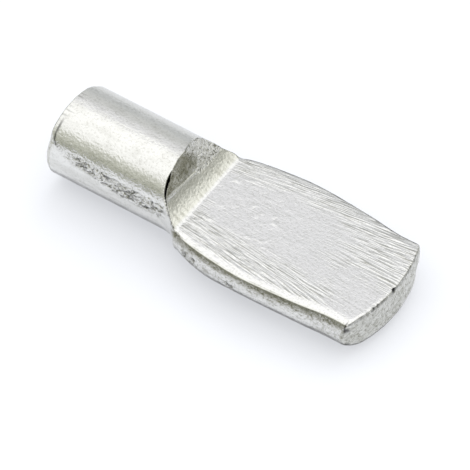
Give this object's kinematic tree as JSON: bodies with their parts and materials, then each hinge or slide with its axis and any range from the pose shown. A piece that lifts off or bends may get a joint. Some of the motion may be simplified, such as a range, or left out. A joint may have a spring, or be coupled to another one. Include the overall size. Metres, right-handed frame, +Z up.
{
  "type": "shelf support pin",
  "caption": "Metal shelf support pin: a short round peg goes in the cabinet wall's hole and a flattened, round-ended tongue carries the shelf.",
  "frame": {"origin": "on the axis of the round peg, at the root of the shoulder, where the peg meets the cabinet wall", "axes": "+X along the peg's axis from the peg towards the tongue, out of the cabinet wall, +Z up, out of the flat seat that the shelf lies on"},
  "size_m": [0.0193, 0.0076, 0.005],
  "materials": {
    "nickel_steel": "bright nickel plate over cold-pressed steel wire, scuffed by tumbling"
  },
  "bodies": {
    "root": {"shelf_pin": "nickel_steel"}
  },
  "joints": []
}
